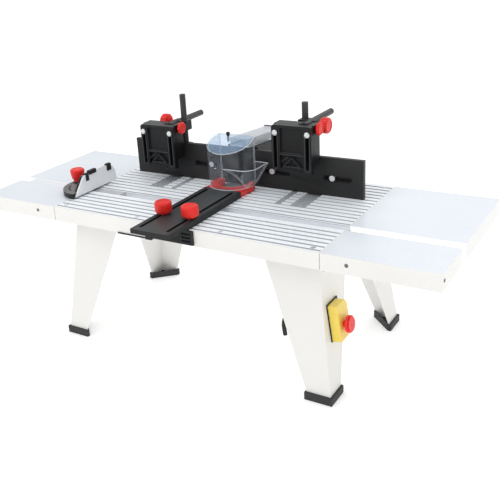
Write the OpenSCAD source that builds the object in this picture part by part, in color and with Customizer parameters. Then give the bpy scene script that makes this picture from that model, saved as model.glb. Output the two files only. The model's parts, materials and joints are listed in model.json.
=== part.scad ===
// Benchtop router table: ribbed top with two wings on splayed legs, sliding fence
// with two feather hold-downs, bit guard on a slotted arm, mitre gauge and stop switch.
// Millimetres, +X to the right, +Y to the back, +Z up. The origin is the centre of the bit opening
// on the working surface; the table itself is laid out about its own centre.

/* [Table] */
// Length of the ribbed centre table, left to right
table_length = 500; // [490:1:520]
// Depth of the table, front to back
table_depth = 305; // [300:1:312]
// Height of the working surface above the floor
table_height = 252; // [245:1:300]
// Length of each wing
wing_length = 171; // [140:1:200]
// Depth of the folded edge below the working surface
apron_depth = 26; // [24:1:30]
// Front-to-back distance between neighbouring grooves
groove_pitch = 13.8; // [13:0.1:15]
// Width of one groove
groove_width = 5; // [3:0.5:6]

/* [Mitre slot] */
// Width of the mitre slot
slot_width = 19; // [18:0.1:20]
// Depth of the mitre slot
slot_depth = 10; // [9:0.5:11]
// Centre line of the mitre slot, front to back
slot_y = -52.5; // [-54:0.5:-51]

/* [Fence] */
// Height of the fence faces
fence_height = 66; // [64:1:70]
// Length of one fence face
face_length = 225; // [215:1:228]
// Opening between the two faces at rest
face_gap = 8; // [8:0.5:12]

/* [Hold-downs] */
// Diameter of the posts and bars
rod_d = 11; // [10:0.5:11]
// Height of the left bar above the table
left_bar_z = 102; // [99:0.5:112]
// Height of the right bar above the table
right_bar_z = 121.5; // [112:0.5:124]

/* [Guard] */
// Width of the slotted guard arm
arm_width = 72; // [68:1:76]
// Radius of the clear shield
shield_r = 40.5; // [38:0.5:41]

/* [Switch] */
// Diameter of the red stop button
button_d = 27; // [22:1:28]

/* [Hidden] */
$fn = 48;

// sheet steel and plate thicknesses
sheet = 1.5;
leg_sheet = 2;
plate = 6;
groove_depth = 1.2;
slack = 0.05;          // radial running clearance of every moving round fit
gap = 0.3;             // clearance between flat faces that slide

half_l = table_length / 2;
half_d = table_depth / 2;
slot_front = slot_y - slot_width / 2;
slot_back = slot_y + slot_width / 2;
slot_wall = 4;
first_back_groove = slot_back + 4.5;

// centre lines of the fence group, the bit opening and the guard arm
fence_x = -3;
bit_y = 40;
arm_x = -4;

// router fixing screws under the table
router_pcd = 100;
router_hole_d = 5.5;
router_boss_h = 6;

// fence, measured from the table centre
face_front_y = 68.8;
face_t = 8;
backbone_y = face_front_y + face_t + gap;
backbone_t = 8;
fence_slot_x = 142;
fence_slot_w = 8;
face_bolt_x = [62, 174];
face_bolt_z = 31;
knob_y = 100;

// posts and clamps
post_dx = 122;
post_y = 80;
post_top = 153;
rod_r = rod_d / 2;
bar_dx = rod_d + 1.5;
clamp_side = 9;
clamp_depth = 19;
// height of each clamp knob below its bar
clamp_knob_drop = [0.5, 5];
// how far the left and right clamp knobs are screwed out
clamp_knob_out = [9, 5];
carrier_knob_drop = 4;
bar_front_y = 49;
bar_back_y = 155;

// hold-down blocks: centre of each block, and its outline
left_block_x = -155.5;
right_block_x = 115.5;
block_w = 72;
block_front_y = 33;
block_back_y = 65;
feather_t = 10;
feather_h = 84;
carrier_h = 62;
bolt_dx = 29;
bolt_drop = 13;
bar_drop = 2.5;

// guard arm
arm_front = -205;
arm_back = 6;
arm_t = 11;
arm_slot_dx = 25.5;
arm_slot_w = 6;
arm_knob_y = -131;
base_back = 55;
base_h = 13;
shield_y = 40;
shield_back = 60;
shield_wall = 2;
shield_floor = arm_t + gap;
chute_top = 49;
chute_x = 33;
chute_y = 24;
chute_flare = 24;
thumb = [-16, 53];

// mitre gauge
pivot_x = -280;
head_r = 50;
face_x = -238;

// legs: corner line of the front right leg at the underside of the apron and at the floor
leg_top = [231.9, -117.4, -apron_depth];
leg_foot = [263.3, -146.6, -252];
floor_z = -table_height;
foot_h = 13;
foot_floor = 3;

// moves a part from table-centred coordinates to the bit opening
module at_table() { translate([-fence_x, -bit_y, 0]) children(); }

// cylinder along X or Y, centred on the origin
module x_cyl(r, h) { rotate([0, 90, 0]) cylinder(r = r, h = h, center = true); }
module y_cyl(r, h) { rotate([90, 0, 0]) cylinder(r = r, h = h, center = true); }

// box given by its lower and upper corners
module span(a, b) { translate(a) cube(b - a); }

// knob with scalloped grip, standing on z = 0
module grip_knob(r, h) {
    difference() {
        union() {
            cylinder(r = r, h = h - 2);
            translate([0, 0, h - 2.1]) cylinder(r = r - 1.5, h = 2.1);
        }
        for (i = [0:11]) rotate([0, 0, i * 30])
            translate([r + 1.2, 0, -1]) cylinder(r = 2, h = h - 2, $fn = 16);
    }
}

// button-head bolt along -Y: head in front of y = 0, shank behind it
module face_bolt(head_r, head_h, shank_r, shank_l) {
    translate([0, -head_h / 2, 0]) y_cyl(head_r, head_h);
    translate([0, shank_l / 2 - 0.5, 0]) y_cyl(shank_r, shank_l + 1);
}

// ---------------------------------------------------------------- table

module groove(y) { translate([0, y, 0]) cube([table_length, groove_width, 2 * groove_depth], center = true); }

module table_grooves() {
    for (y = [slot_front - groove_pitch : -groove_pitch : -half_d + 5]) groove(y);
    for (y = [first_back_groove : groove_pitch : half_d - 5]) groove(y);
}

// milled pocket, deeper channel and through slot for the fence on one side
module fence_slot_pocket() {
    difference() {
        span([100, 5, -groove_depth], [156, 140, 1]);
        span([111, 4, -groove_depth - 1], [128, 141, 2]);
    }
    span([130, 5, -3], [154, 140, 1]);
    hull() for (y = [16, 132])
        translate([fence_slot_x, y, -plate - 1]) cylinder(d = fence_slot_w, h = plate + 2, $fn = 32);
}

module router_holes() {
    for (a = [45:90:315])
        translate([fence_x, bit_y, 0]) rotate([0, 0, a]) translate([router_pcd / 2, 0, 0]) children();
}

module table_top() {
    color("gainsboro") at_table() difference() {
        union() {
            span([-half_l + sheet, -half_d + sheet, -plate], [half_l - sheet, half_d - sheet, 0]);
            span([-half_l + sheet, slot_front - slot_wall, -slot_depth - slot_wall],
                 [half_l - sheet, slot_back + slot_wall, -plate + 1]);
            translate([fence_x, bit_y, -plate - router_boss_h]) cylinder(r = 41, h = router_boss_h + 1);
            router_holes() translate([0, 0, -plate - router_boss_h]) cylinder(r = 8, h = router_boss_h + 1);
        }
        table_grooves();
        span([-table_length, slot_front, -slot_depth], [table_length, slot_back, 1]);
        translate([fence_x, 0, 0]) fence_slot_pocket();
        translate([fence_x, 0, 0]) mirror([1, 0, 0]) fence_slot_pocket();
        translate([fence_x, bit_y, -40]) cylinder(r = 34, h = 60);
        translate([fence_x, bit_y, -3]) cylinder(r = 38, h = 10);
        router_holes() translate([0, 0, -30]) cylinder(d = router_hole_d, h = 60);
        for (s = [-1, 1]) translate([arm_x + s * arm_slot_dx, arm_knob_y, -30]) cylinder(r = 3, h = 60);
        for (p = top_screw_spots) translate([p[0], p[1], -30]) cylinder(r = 2, h = 60);
        for (p = top_screw_spots) translate([p[0], p[1], -2.2]) cylinder(r = 4.2, h = 10);
        leg_bolt_spots() translate([0, 0, -30]) cylinder(r = 2.5, h = 27);
    }
}

// screws that hold the top to the folded apron ledge
top_screw_spots = [[-234, -138], [234, -138], [-234, 138], [234, 138], [-80, -138], [80, -138]];

module table_apron() {
    color("ivory") at_table() difference() {
        union() {
            difference() {
                span([-half_l, -half_d, -apron_depth], [half_l, half_d, 0]);
                span([-half_l + sheet, -half_d + sheet, -apron_depth - 1],
                     [half_l - sheet, half_d - sheet, 1]);
            }
            difference() {
                span([-half_l + 1, -half_d + 1, -plate - 2], [half_l - 1, half_d - 1, -plate]);
                span([-half_l + 24, -half_d + 24, -plate - 3], [half_l - 24, half_d - 24, 1]);
            }
        }
        span([-table_length, slot_front - slot_wall, -slot_depth - slot_wall],
             [table_length, slot_back + slot_wall, -plate]);
        span([-table_length, slot_front, -slot_depth], [table_length, slot_back, 1]);
        for (p = top_screw_spots) translate([p[0], p[1], -30]) cylinder(r = 2, h = 60);
        for (s = [-1, 1]) translate([arm_x + s * arm_slot_dx, arm_knob_y, -30]) cylinder(r = 7, h = 60);
        wing_bolt_spots() x_cyl(3, 20);
    }
}

module bit_ring() {
    color("dimgray") at_table() translate([fence_x, bit_y, -3]) difference() {
        cylinder(r = 37.9, h = 3);
        translate([0, 0, -1]) cylinder(r = 20, h = 6);
    }
}

module top_screws() {
    color("silver") at_table() for (p = top_screw_spots) translate([p[0], p[1], 0]) {
        translate([0, 0, -2.2]) cylinder(r = 4.1, h = 2);
        translate([0, 0, -11]) cylinder(r = 1.9, h = 9);
    }
}

module wing_bolt_spots() {
    for (s = [-1, 1]) for (y = [-120, 0, 120]) translate([s * half_l, y, -17]) children();
}

// right-hand wing: folded tray with a U-shaped trough for the mitre slot
module wing() {
    outer = half_l + wing_length;
    difference() {
        union() {
            difference() {
                span([half_l, -half_d, -apron_depth], [outer, half_d, 0]);
                span([half_l + sheet, -half_d + sheet, -apron_depth - 1],
                     [outer - sheet, half_d - sheet, -sheet]);
            }
            span([half_l, slot_front - sheet, -slot_depth - sheet], [outer, slot_back + sheet, 0]);
        }
        span([half_l - 1, slot_front, -slot_depth], [outer + 1, slot_back, 1]);
        span([outer - sheet - 1, slot_front, -apron_depth - 1], [outer + 1, slot_back, -slot_depth - sheet]);
        wing_bolt_spots() x_cyl(3, 20);
        translate([half_l + 40, -half_d, -12]) y_cyl(2.5, 10);
        translate([outer, -half_d + 9, -12]) x_cyl(2.5, 10);
    }
}

module wing_right() { color("lightsteelblue") at_table() wing(); }
module wing_left() { color("lightsteelblue") at_table() mirror([1, 0, 0]) wing(); }

module wing_bolts() {
    color("silver") at_table() wing_bolt_spots() {
        x_cyl(2.9, 2 * sheet + 0.4);
        for (s = [-1, 1]) translate([s * (sheet + 1.7), 0, 0]) x_cyl(5, 3.2);
    }
}

// ---------------------------------------------------------------- stand

leg_rise = leg_top[2] - leg_foot[2];
function leg_x(z) = leg_top[0] + (leg_foot[0] - leg_top[0]) * (leg_top[2] - z) / leg_rise;
function leg_y(z) = leg_top[1] + (leg_foot[1] - leg_top[1]) * (leg_top[2] - z) / leg_rise;
ledge_t = 2;
leg_up = -plate - ledge_t - 0.05;
leg_tab_x = 160;
front_w = [98.5, 37.8];
side_w = [107.5, 35.9];

// outline given in X and Z, swept through Y; and outline given in Y and Z, swept through X
module sweep_y(pts, y0, y1) {
    translate([0, y1, 0]) rotate([90, 0, 0]) linear_extrude(y1 - y0) polygon(pts);
}
module sweep_x(pts, x0, x1) {
    translate([x0, 0, 0]) rotate([90, 0, 90]) linear_extrude(x1 - x0) polygon(pts);
}

// front right leg: two tapered flanges folded on the corner line, and a tab under the top plate
module leg_solid(low) {
    intersection() {
        sweep_x([[leg_y(leg_up), leg_up], [leg_y(low), low],
                 [leg_y(low) + leg_sheet, low], [leg_y(leg_up) + leg_sheet, leg_up]], 60, 320);
        sweep_y([[leg_x(leg_up), leg_up], [leg_x(low), low],
                 [leg_x(low) - front_w[1], low], [leg_x(leg_up) - front_w[0], leg_up]], -200, 0);
    }
    intersection() {
        sweep_y([[leg_x(leg_up), leg_up], [leg_x(low), low],
                 [leg_x(low) - leg_sheet, low], [leg_x(leg_up) - leg_sheet, leg_up]], -200, 60);
        sweep_x([[leg_y(leg_up), leg_up], [leg_y(low), low],
                 [leg_y(low) + side_w[1], low], [leg_y(leg_up) + side_w[0], leg_up]], 60, 320);
    }
    span([leg_tab_x, leg_y(leg_up) + 0.5, leg_up - 2], [leg_x(leg_up) - 0.5, leg_y(leg_up) + 20, leg_up]);
}

// positions of the bolts through each leg's tab
module leg_bolt_spots() {
    for (sx = [-1, 1]) for (sy = [-1, 1]) {
        translate([sx * 172, sy * -103, 0]) children();
        translate([sx * 214, sy * -103, 0]) children();
    }
}

module leg_part() {
    difference() {
        leg_solid(floor_z + foot_floor);
        leg_bolt_spots() translate([0, 0, -30]) cylinder(r = 2.5, h = 30);
        translate([leg_x(-48), leg_y(-48) + 14, -48]) x_cyl(2.5, 20);
        on_flange() translate([0, 0, cable_rise]) x_cyl(4, 20);
        // room for the fence lock and the mitre trough under the top
        span([0, -300, -22], [leg_tab_x - 4, 300, 10]);
        span([0, slot_front - slot_wall - gap, -slot_depth - slot_wall - gap],
             [300, slot_back + slot_wall + gap, 0]);
    }
}

module leg_front_right() { color("ivory") at_table() leg_part(); }
module leg_front_left() { color("ivory") at_table() mirror([1, 0, 0]) leg_part(); }
module leg_back_right() { color("ivory") at_table() mirror([0, 1, 0]) leg_part(); }
module leg_back_left() { color("ivory") at_table() mirror([1, 0, 0]) mirror([0, 1, 0]) leg_part(); }

// rubber cap, a hollow right-angled triangle in plan, cut to the leg it is pushed on
module foot_part() {
    x = leg_x(floor_z) + 1.8;
    y = leg_y(floor_z) - 1.8;
    inner = 1.8 + leg_sheet;
    difference() {
        translate([0, 0, floor_z]) linear_extrude(foot_h)
            polygon([[x, y], [x, y + 44], [x - 6, y + 44], [x - 46, y + 6], [x - 46, y]]);
        translate([0, 0, floor_z + foot_floor]) linear_extrude(foot_h)
            polygon([[x - inner, y + inner], [x - inner, y + 41.5], [x - inner - 1.2, y + 41.5],
                     [x - 43.5, y + 4.9], [x - 43.5, y + inner]]);
        leg_solid(floor_z + foot_floor);
    }
}

module foot_front_right() { color("black") at_table() foot_part(); }
module foot_front_left() { color("black") at_table() mirror([1, 0, 0]) foot_part(); }
module foot_back_right() { color("black") at_table() mirror([0, 1, 0]) foot_part(); }
module foot_back_left() { color("black") at_table() mirror([1, 0, 0]) mirror([0, 1, 0]) foot_part(); }

module leg_bolts() {
    color("silver") at_table() leg_bolt_spots() {
        translate([0, 0, leg_up - 2 - 3]) cylinder(r = 4.5, h = 3);
        translate([0, 0, leg_up - 2.5]) cylinder(r = 2.4, h = 7);
    }
}

// ---------------------------------------------------------------- switch

// centre of the box on the sloping side flange of the front right leg, in Y and Z
switch_mid = [-98, -131];
switch_tilt = atan((leg_foot[0] - leg_top[0]) / leg_rise);
gasket_t = 2;
switch_t = 15;
switch_outline = [[-17, -29], [11, -29], [17, -23], [17, 21], [11, 29], [-17, 29]];
button_drop = 6;
cable_rise = 12;
cable_in = 53;
cable_bend = 36;
cable_drop = 12;

// frame lying on the flange: X outward, Z up along the slope
module on_flange() {
    translate([leg_x(switch_mid[1]), switch_mid[0], switch_mid[1]]) rotate([0, -switch_tilt, 0]) children();
}

module switch_plate() {
    color("black") at_table() on_flange() difference() {
        span([slack, -18, -30.5], [gasket_t, 18, 30.5]);
        translate([0, 0, cable_rise]) x_cyl(4, 20);
    }
}

module switch_box() {
    color("gold") at_table() on_flange() difference() {
        sweep_x(switch_outline, gasket_t, gasket_t + switch_t);
        span([gasket_t - 1, -15, -26], [gasket_t + switch_t - 2.5, 10, 26]);
        translate([gasket_t + switch_t, 0, -button_drop]) x_cyl(5 + slack, 20);
    }
}

module stop_button() {
    color("red") at_table() on_flange() translate([0, 0, -button_drop]) {
        translate([17.5, 0, 0]) x_cyl(5, 13);
        translate([25, 0, 0]) x_cyl(button_d / 2, 4);
        translate([28, 0, 0]) x_cyl(button_d / 2 - 2, 2.2);
    }
}

// mains cable: out of the back of the box, through the leg, and down in a bend
module switch_cable() {
    color("black") at_table() on_flange() translate([0, 0, cable_rise]) {
        translate([(6 - cable_in) / 2, 0, 0]) x_cyl(3.5, 6 + cable_in);
        translate([-cable_in, 0, -cable_bend]) rotate([90, 0, 0])
            rotate([0, 0, 90]) rotate_extrude(angle = 90)
            translate([cable_bend, 0]) circle(r = 3.5, $fn = 24);
        translate([-cable_in - cable_bend, 0, -cable_bend - cable_drop]) cylinder(r = 3.5, h = cable_drop);
    }
}

// ---------------------------------------------------------------- bit guard

module arm_bracket() {
    color("black") at_table() difference() {
        union() {
            span([-52, -half_d - 4, -23.5], [40, -half_d, -0.5]);
            span([-52, -half_d - 4, -apron_depth - 1.2], [-40, -half_d, -20]);
            span([-111, -half_d - 2, -apron_depth - 1.2], [-40, -half_d, -apron_depth + 0.8]);
            span([-111, -half_d - 2, -apron_depth - 1.2], [-40, -half_d + 10, -apron_depth]);
        }
        for (i = [0:2]) span([20, -half_d - 5, -19 + i * 6], [36, -half_d - 2, -16 + i * 6]);
    }
}

module arm_studs() {
    color("silver") at_table() for (s = [-1, 1]) translate([arm_x + s * arm_slot_dx, arm_knob_y, 0]) {
        translate([0, 0, -plate - 4]) cylinder(r = 5.5, h = 4);
        translate([0, 0, -plate - 1]) cylinder(r = 2.9, h = plate + arm_t + 12);
    }
}

module guard_arm() {
    color("black") at_table() difference() {
        union() {
            span([arm_x - arm_width / 2, arm_front, gap], [arm_x + arm_width / 2, arm_back, arm_t]);
        }
        for (s = [-1, 1]) hull() for (y = [arm_front + 14, arm_back - 12])
            translate([arm_x + s * arm_slot_dx, y, -1]) cylinder(d = arm_slot_w, h = arm_t + 2, $fn = 32);
        span([arm_x - arm_width / 2 - 1, arm_front - 1, -1], [arm_x + arm_width / 2 + 1, -half_d - 6, 3.5]);
    }
}

module arm_knob(s) {
    translate([arm_x + s * arm_slot_dx, arm_knob_y, arm_t + gap]) difference() {
        union() {
            cylinder(r = 8, h = 3);
            translate([0, 0, 2]) grip_knob(14, 19);
        }
        translate([0, 0, -1]) cylinder(r = 2.9 + slack, h = 14);
    }
}

module arm_knob_left() { color("red") at_table() arm_knob(-1); }
module arm_knob_right() { color("red") at_table() arm_knob(1); }

// region under the sloping roof of the shield
module under_roof(drop) {
    sweep_x([[-20, 69 - drop], [65, 95.6 - drop], [65, 0], [-20, 0]], -100, 100);
}

// round body of the shield, open at the back
module shield_form(r, drop) {
    intersection() {
        translate([arm_x, shield_y, shield_floor - drop]) cylinder(r = r, h = 90);
        under_roof(drop);
        span([-100, -50, 0], [100, shield_back + drop, 120]);
    }
}

// chip chute that widens upward to the right, shrunk by the inset
module chute_form(inset) {
    rise = chute_top - shield_floor;
    low = shield_floor + inset * rise / chute_flare;
    h = chute_top + (inset > 0 ? 1 : 0) - low;
    r = h * chute_flare / rise;
    back = shield_back - inset;
    translate([chute_x, chute_y, low]) cylinder(r1 = 0.01, r2 = r, h = h);
    sweep_y([[arm_x, low], [chute_x, low], [chute_x + r, low + h], [arm_x, low + h]], chute_y, back);
    sweep_x([[chute_y, low], [chute_y - r, low + h], [back, low + h], [back, low]], arm_x - 10, chute_x);
}

module guard_shield() {
    color("lightcyan") at_table() difference() {
        union() {
            shield_form(shield_r, 0);
            difference() {
                chute_form(0);
                chute_form(shield_wall);
            }
        }
        shield_form(shield_r - shield_wall, shield_wall);
        translate([thumb[0], thumb[1], 60]) cylinder(r = 2.1, h = 60);
    }
}

module guard_base() {
    color("red") at_table() difference() {
        union() {
            sweep_x([[arm_back + gap, 1], [arm_back + gap, arm_t], [base_back, 5], [base_back, 1]],
                    arm_x - arm_width / 2, arm_x + arm_width / 2);
            translate([arm_x, shield_y, 1]) cylinder(r = shield_r - shield_wall - slack, h = base_h - 1);
        }
        translate([fence_x, bit_y, -1]) cylinder(r = 26, h = 30);
        span([fence_x - 26, bit_y, -1], [fence_x + 26, 100, 30]);
        span([-100, base_back, -1], [100, 120, 30]);
        span([-100, -20, -1], [100, arm_back + gap, 30]);
    }
}

module guard_thumbscrew() {
    color("black") at_table() translate([thumb[0], thumb[1], 0]) {
        translate([0, 0, 82]) cylinder(r = 2, h = 13);
        translate([0, 0, 93.5]) cylinder(r = 3.2, h = 5);
    }
}

// ---------------------------------------------------------------- fence

function side_post_x(s) = fence_x + s * post_dx;

module fence_base() {
    color("black") at_table() difference() {
        union() {
            span([fence_x - 214, backbone_y, 1], [fence_x + 214, backbone_y + backbone_t, fence_height - 3]);
            for (s = [-1, 1]) {
                translate([side_post_x(s), post_y, 0]) span([-9.5, -8, 8], [9.5, 9, fence_height - 3]);
                translate([fence_x + s * fence_slot_x, 0, 0]) span([-18, backbone_y, 1], [18, 132, 7]);
            }
            span([fence_x - 214, backbone_y, 1], [fence_x + 214, backbone_y + 22, 6]);
            sweep_x([[backbone_y + 1, 1], [backbone_y + 1, 69], [140, 64.3], [140, 1]],
                    fence_x - 30, fence_x + 30);
        }
        span([fence_x - 27, 0, -1], [fence_x + 27, 136, 60]);
        for (s = [-1, 1]) {
            translate([side_post_x(s), post_y, 12]) cylinder(r = rod_r, h = 80);
            translate([fence_x + s * fence_slot_x, knob_y, -1]) cylinder(r = 4 + slack, h = 30);
            for (x = face_bolt_x) translate([fence_x + s * x, backbone_y, face_bolt_z]) y_cyl(3, 60);
        }
        translate([fence_x, 120, 50]) cylinder(r = 12, h = 40);
        duct_side(60, duct_end, -0.02, 15);
    }
}

// right fence face; the left one is its mirror image about the fence centre
module fence_face() {
    x0 = face_gap / 2;
    x1 = x0 + face_length;
    difference() {
        span([x0, face_front_y, gap], [x1, face_front_y + face_t, fence_height]);
        span([post_dx - 22, face_front_y + 2.7, -1], [post_dx + 22, 100, fence_height + 1]);
        translate([x0, face_front_y + face_t, 0]) rotate([0, 0, 45]) cube([6, 6, 200], center = true);
        for (x = face_bolt_x) translate([x, face_front_y, face_bolt_z]) {
            hull() for (dx = [-11, 30]) translate([dx, 0, 0]) y_cyl(3.2, 40, $fn = 32);
            hull() for (dx = [-11, 30]) translate([dx, 0, 0]) y_cyl(5.2, 5, $fn = 32);
        }
    }
}

module fence_face_right() { color("black") at_table() translate([fence_x, 0, 0]) fence_face(); }
module fence_face_left() {
    color("black") at_table() translate([fence_x, 0, 0]) mirror([1, 0, 0]) fence_face();
}

module face_bolts() {
    color("silver") at_table() for (s = [-1, 1]) for (x = face_bolt_x)
        translate([fence_x + s * x, face_front_y + 2.5 - gap, face_bolt_z]) {
            translate([0, -1.4, 0]) y_cyl(4.9, 2.8);
            translate([0, 11, 0]) y_cyl(2.95, 23);
            translate([0, 15.6, 0]) y_cyl(6, 3);
        }
}

// studs of the two fence locks, down through the table slots to their clamp plates
module fence_studs() {
    color("silver") at_table() for (s = [-1, 1]) translate([fence_x + s * fence_slot_x, knob_y, 0]) {
        translate([0, 0, -plate - 7]) cylinder(r = 9, h = 6);
        translate([0, 0, -plate - 2]) cylinder(r = 3.8, h = 34);
    }
}

// lock knob behind the fence, screwed on the stud
module fence_knob(s) {
    translate([fence_x + s * fence_slot_x, knob_y, 0]) difference() {
        union() {
            translate([0, 0, 7 + gap]) cylinder(r = 9, h = 4);
            translate([0, 0, 10]) grip_knob(14.6, 20);
        }
        cylinder(r = 3.8 + slack, h = 27);
    }
}

module fence_knob_left() { color("red") at_table() fence_knob(-1); }
module fence_knob_right() { color("red") at_table() fence_knob(1); }

duct_slope = 4.7 / 60;
duct_end = 194;
port_z = 58;
duct_hole_z = 67;
port_r = 17.5;
module duct_side(y0, y1, low, high) {
    z0 = 69 + (backbone_y + 1 - y0) * duct_slope;
    z1 = 69 + (backbone_y + 1 - y1) * duct_slope;
    sweep_x([[y0, z0 + low], [y0, z0 + high], [y1, z1 + high], [y1, z1 + low]], fence_x - 18, fence_x + 18);
}

module dust_duct() {
    color("lightcyan") at_table() difference() {
        duct_side(67, duct_end, 0, 15);
        intersection() {
            duct_side(60, duct_end - 2, 1.8, 13.2);
            span([fence_x - 16.2, 0, 0], [fence_x + 16.2, 300, 200]);
        }
        translate([fence_x, 120, 60]) cylinder(r = 10, h = 9);
        translate([fence_x, duct_end, duct_hole_z]) cube([18, 20, 8], center = true);
    }
}

// spigot for a vacuum hose, on a flange behind the duct
module dust_port() {
    color("black") at_table() translate([fence_x, duct_end, port_z]) difference() {
        union() {
            translate([0, 2, 0]) cube([42, 4, 36], center = true);
            translate([0, 13, 0]) y_cyl(port_r, 20);
        }
        translate([0, 16, 0]) y_cyl(port_r - 2.5, 24);
        translate([0, 0, duct_hole_z - port_z]) cube([18, 20, 8], center = true);
    }
}

// ---------------------------------------------------------------- hold-downs

function side_bar_z(s) = s < 0 ? left_bar_z : right_bar_z;
function side_bar_x(s) = side_post_x(s) + s * bar_dx;
function side_knob_drop(s) = s < 0 ? clamp_knob_drop[0] : clamp_knob_drop[1];
function side_block_x(s) = s < 0 ? left_block_x : right_block_x;
function side_block_top(s) = side_bar_z(s) + bar_drop;

module post(s) { translate([side_post_x(s), post_y, 12]) cylinder(r = rod_r, h = post_top - 12); }
module post_left() { color("dimgray") at_table() post(-1); }
module post_right() { color("dimgray") at_table() post(1); }

// cross clamp with one bore for the post and one for the bar, and a tapped hole for its knob
module clamp(s) {
    x0 = side_post_x(s) - s * clamp_side;
    x1 = side_bar_x(s) + s * clamp_side;
    z = side_bar_z(s);
    difference() {
        span([min(x0, x1), post_y - clamp_depth / 2, z - 14],
             [max(x0, x1), post_y + clamp_depth / 2, z + 3.5]);
        translate([side_post_x(s), post_y, z - 50]) cylinder(r = rod_r + slack, h = 100);
        translate([side_bar_x(s), post_y, z]) y_cyl(rod_r + slack, 60);
        translate([x1, post_y, z - side_knob_drop(s)]) x_cyl(3 + slack, 16);
    }
}

module clamp_left() { color("black") at_table() clamp(-1); }
module clamp_right() { color("black") at_table() clamp(1); }

module clamp_knob(s) {
    collar_z = clamp_side + (s < 0 ? clamp_knob_out[0] : clamp_knob_out[1]);
    translate([side_bar_x(s), post_y, side_bar_z(s) - side_knob_drop(s)]) rotate([0, s * 90, 0]) {
        translate([0, 0, rod_r + 0.4]) cylinder(r = 3, h = collar_z - 4);
        translate([0, 0, collar_z]) cylinder(r = 8, h = 3);
        translate([0, 0, collar_z + 2]) grip_knob(13.3, 15);
    }
}

module clamp_knob_left() { color("red") at_table() clamp_knob(-1); }
module clamp_knob_right() { color("red") at_table() clamp_knob(1); }

module bar(s) {
    translate([side_bar_x(s), (bar_front_y + bar_back_y) / 2, side_bar_z(s)])
        y_cyl(rod_r, bar_back_y - bar_front_y);
}

module bar_left() { color("dimgray") at_table() bar(-1); }
module bar_right() { color("dimgray") at_table() bar(1); }

// carrier: box behind the feather plate with a lug that holds the front end of the bar
module carrier(s) {
    x = side_block_x(s);
    top = side_block_top(s);
    y0 = block_front_y + feather_t + gap;
    difference() {
        union() {
            span([x - block_w / 2, y0, top - carrier_h], [x + block_w / 2, block_back_y, top]);
            translate([side_bar_x(s), 0, top]) span([-8, bar_front_y - 3, -20], [8, block_back_y, 1.5]);
        }
        span([x - 24, y0 - 1, top - carrier_h + 6], [x + 24, y0 + 3, top - 24]);
        translate([side_bar_x(s), bar_front_y + 25, side_bar_z(s)]) y_cyl(rod_r, 50);
        for (dx = [-bolt_dx, bolt_dx]) translate([x + dx, y0, top - bolt_drop]) y_cyl(2.5, 30);
        translate([x + block_w / 2 - 8, 54, side_bar_z(s) - carrier_knob_drop]) x_cyl(3 + slack, 26);
    }
}

module carrier_left() { color("black") at_table() carrier(-1); }
module carrier_right() { color("black") at_table() carrier(1); }

// outline of the feather plate in X and Z, top edge at zero
module plate_outline() {
    w = block_w / 2;
    polygon([[-w + 5, 0], [w - 5, 0], [w, -5], [w, -feather_h + 6], [w - 6, -feather_h],
             [-w + 5, -feather_h + 8], [-w, -feather_h + 13], [-w, -5]]);
}

module feather(s) {
    top = side_block_top(s);
    translate([side_block_x(s), block_front_y + feather_t, top]) difference() {
        rotate([90, 0, 0]) difference() {
            linear_extrude(feather_t) plate_outline();
            // plain recess above, comb cut through below
            translate([-21, -45, 6]) cube([42, 37, 10]);
            for (i = [0:6]) translate([-36 + i * 8, -feather_h - 6, -1])
                rotate([0, 0, -32]) cube([2.6, 30, 20]);
            linear_extrude(30) polygon([[0, -50], [12, -62], [-12, -62]]);
        }
        for (dx = [-bolt_dx, bolt_dx]) hull() for (z = [-bolt_drop + 1, -bolt_drop - 34])
            translate([dx, 0, z]) y_cyl(2.7, 40, $fn = 32);
    }
}

module feather_left() { color("black") at_table() feather(-1); }
module feather_right() { color("black") at_table() feather(1); }

module feather_bolts(s) {
    for (dx = [-bolt_dx, bolt_dx])
        translate([side_block_x(s) + dx, block_front_y - gap, side_block_top(s) - bolt_drop])
            face_bolt(4.6, 3, 2.4, 22);
}

module feather_bolts_left() { color("silver") at_table() feather_bolts(-1); }
module feather_bolts_right() { color("silver") at_table() feather_bolts(1); }

module carrier_knob(s) {
    x = side_block_x(s) + block_w / 2;
    reach = x - side_bar_x(s) - rod_r - 0.4;
    translate([x, 54, side_bar_z(s) - carrier_knob_drop]) rotate([0, 90, 0]) {
        translate([0, 0, -reach]) cylinder(r = 3, h = reach + 3);
        translate([0, 0, 1.5]) grip_knob(11, 7);
    }
}

module carrier_knob_left() { color("red") at_table() carrier_knob(-1); }
module carrier_knob_right() { color("red") at_table() carrier_knob(1); }

// ---------------------------------------------------------------- mitre gauge

module mitre_bar() {
    color("silver") at_table() difference() {
        span([-400, slot_front + 0.2, -slot_depth + 1], [-180, slot_back - 0.2, -0.5]);
        translate([pivot_x, slot_y, -20]) cylinder(r = 3, h = 40);
    }
}

module mitre_stud() {
    color("silver") at_table() translate([pivot_x, slot_y, 0]) {
        translate([0, 0, -slot_depth + 2]) cylinder(r = 3, h = 38);
    }
}

module mitre_head() {
    color("black") at_table() difference() {
        union() {
            intersection() {
                translate([face_x - 4, slot_y - 9.5, 1]) cylinder(r = head_r, h = 9);
                span([-400, -200, 0], [face_x - 3, 100, 30]);
            }
            span([face_x - 8, slot_y - 40, 1], [face_x - 3, slot_y + 36, 24]);
            sweep_x(mitre_web, face_x - 8, face_x - 3);
            translate([pivot_x, slot_y, 1]) cylinder(r = 8, h = 11);
        }
        translate([pivot_x, slot_y, 0]) cylinder(r = 3 + slack, h = 30);
    }
}

// outline of the mitre face in Y and Z
mitre_outline = [[-108, 3], [-83, 33], [-73, 36], [-31, 38], [-19, 36], [-4, 32], [3, 22], [5, 3]];
// end web of the head behind the face, same axes
mitre_web = [[-108, 1], [-83, 34], [-76, 34], [-68, 22], [-68, 1]];

module mitre_face() {
    color("silver") at_table() sweep_x(mitre_outline, face_x - 3, face_x);
}

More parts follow.
